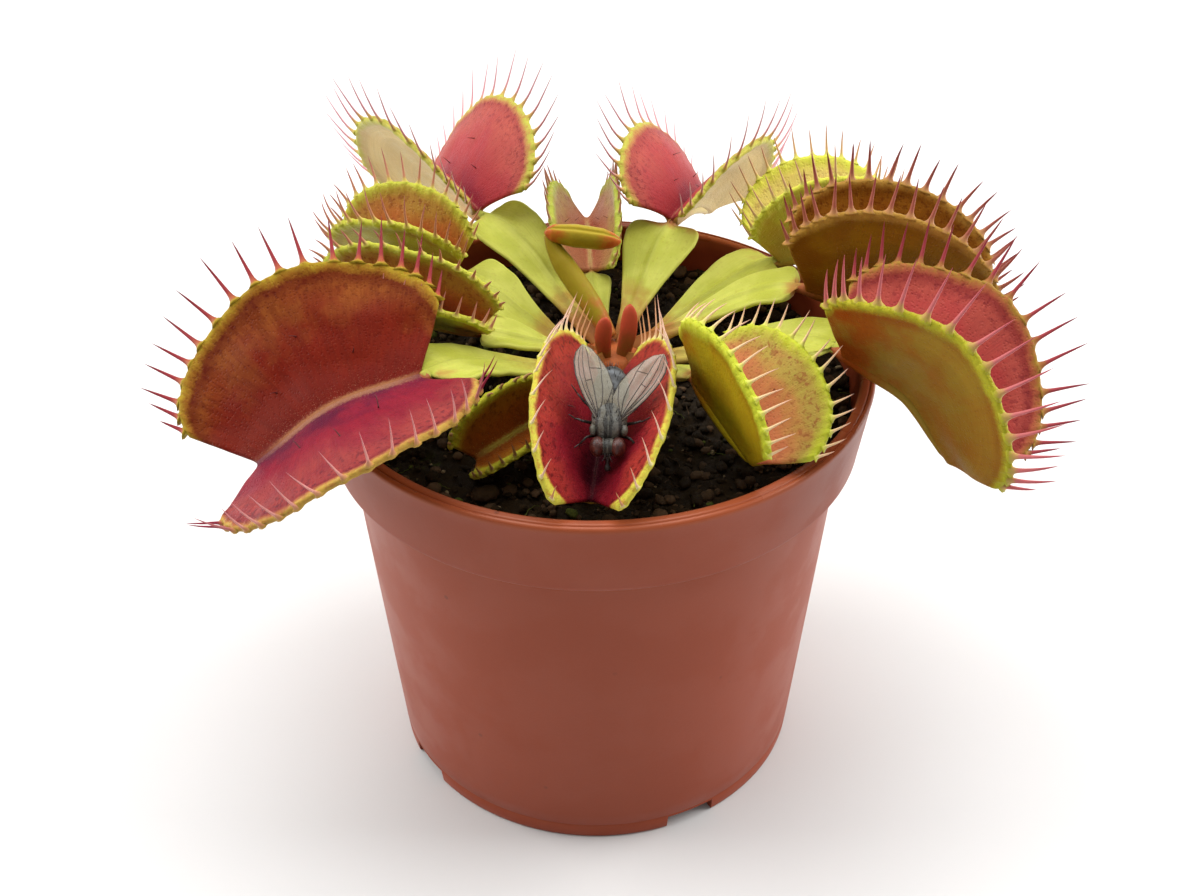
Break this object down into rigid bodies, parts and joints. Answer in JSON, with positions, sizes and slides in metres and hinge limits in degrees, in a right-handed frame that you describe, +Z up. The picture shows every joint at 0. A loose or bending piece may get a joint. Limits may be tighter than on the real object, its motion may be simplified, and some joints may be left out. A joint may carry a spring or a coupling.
{
  "type": "potted venus flytrap",
  "caption": "Small carnivorous plant with open toothed traps on flat green leaf stalks, in a round plastic nursery pot of peat, with a fly in the front trap.",
  "frame": {"origin": "on the surface the pot stands on, below the middle of the whole outline; the pot's axis is at x -2.2 mm, y -8.8 mm", "axes": "+Z up along the pot's axis, -Y towards the viewer of the picture, where the trap with the fly is, +X to that viewer's right"},
  "size_m": [0.0975, 0.0838, 0.0719],
  "materials": {
    "pot": "satin",
    "soil": "matte",
    "crown": "satin",
    "leaf": "satin",
    "young_leaf": "satin",
    "fly": "satin"
  },
  "bodies": {
    "root": {"pot": "pot", "soil": "soil", "peat_lump_front": "soil", "peat_lump_right": "soil", "peat_lump_back": "soil", "crown": "crown", "shoot_left": "young_leaf", "shoot_right": "young_leaf", "young_leaf": "young_leaf", "leaf_front_left": "leaf", "leaf_left_low": "leaf", "leaf_left_middle": "leaf", "leaf_back_left": "leaf", "leaf_back_small": "leaf", "leaf_back_right": "leaf", "leaf_right_back": "leaf", "leaf_right_middle": "leaf", "leaf_front_right": "leaf", "leaf_front_low": "leaf", "leaf_with_fly": "leaf", "leaf_front_small": "leaf", "caught_fly": "fly"}
  },
  "joints": []
}
